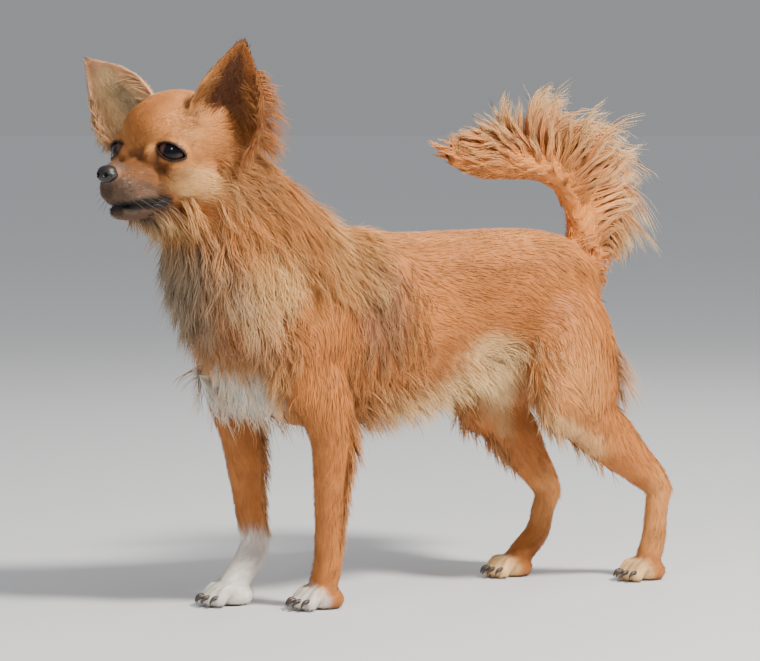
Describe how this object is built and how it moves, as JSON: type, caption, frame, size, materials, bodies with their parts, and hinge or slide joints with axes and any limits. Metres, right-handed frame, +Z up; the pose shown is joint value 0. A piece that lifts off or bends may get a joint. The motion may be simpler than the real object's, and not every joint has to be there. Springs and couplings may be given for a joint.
{
  "type": "chihuahua, long-haired, standing",
  "caption": "Life-size long-haired chihuahua standing square, head turned to its left, tail curled over its back.",
  "frame": {"origin": "on the floor under the middle of the part's box", "axes": "the dog faces -X, its left side is -Y, +Z is up"},
  "size_m": [0.405, 0.1188, 0.3201],
  "materials": {
    "coat": "matt",
    "eye": "gloss",
    "nose_leather": "satin",
    "claw_horn": "satin"
  },
  "bodies": {
    "root": {"claw_foreleg_left_1": "claw_horn", "claw_foreleg_left_2": "claw_horn", "claw_foreleg_left_3": "claw_horn", "claw_foreleg_left_4": "claw_horn", "claw_foreleg_right_1": "claw_horn", "claw_foreleg_right_2": "claw_horn", "claw_foreleg_right_3": "claw_horn", "claw_foreleg_right_4": "claw_horn", "claw_hindfoot_left_1": "claw_horn", "claw_hindfoot_left_2": "claw_horn", "claw_hindfoot_left_3": "claw_horn", "claw_hindfoot_left_4": "claw_horn", "claw_hindfoot_right_1": "claw_horn", "claw_hindfoot_right_2": "claw_horn", "claw_hindfoot_right_3": "claw_horn", "claw_hindfoot_right_4": "claw_horn", "ear_left": "coat", "ear_right": "coat", "eye_left": "eye", "eye_right": "eye", "foreleg_left": "coat", "foreleg_right": "coat", "head": "coat", "hindfoot_left": "coat", "hindfoot_right": "coat", "hindleg_left": "coat", "hindleg_right": "coat", "neck": "coat", "nose": "nose_leather", "tail_base": "coat", "tail_middle": "coat", "tail_tip": "coat", "torso": "coat"}
  },
  "joints": []
}
